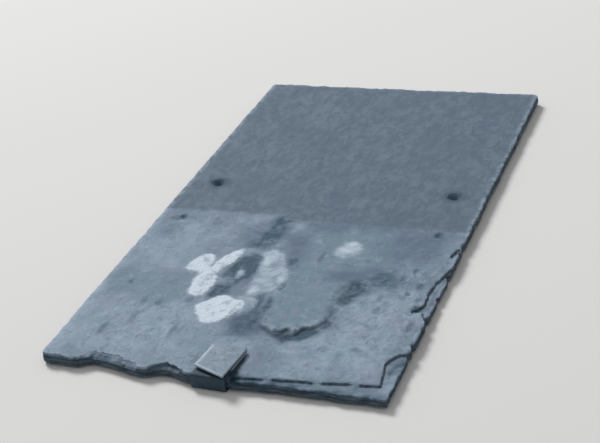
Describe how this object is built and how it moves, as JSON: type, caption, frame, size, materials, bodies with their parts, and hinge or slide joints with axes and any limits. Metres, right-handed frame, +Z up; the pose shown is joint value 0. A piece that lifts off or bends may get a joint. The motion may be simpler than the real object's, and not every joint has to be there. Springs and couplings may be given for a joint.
{
  "type": "slate roof tile",
  "caption": "Split roofing slate with dressed edges, a broken layer along its tail, two nail holes and a folded metal tail clip.",
  "frame": {"origin": "under the middle of the whole part, on the surface that it lies on", "axes": "+X across the slate, +Y from the tail up to the head, +Z up through the weathered face"},
  "size_m": [0.254, 0.508, 0.0143],
  "materials": {
    "weathered_slate": "riven, weathered, with lichen",
    "strip_metal": "dull, weathered"
  },
  "bodies": {
    "root": {"slate": "weathered_slate", "tail_clip": "strip_metal"}
  },
  "joints": []
}
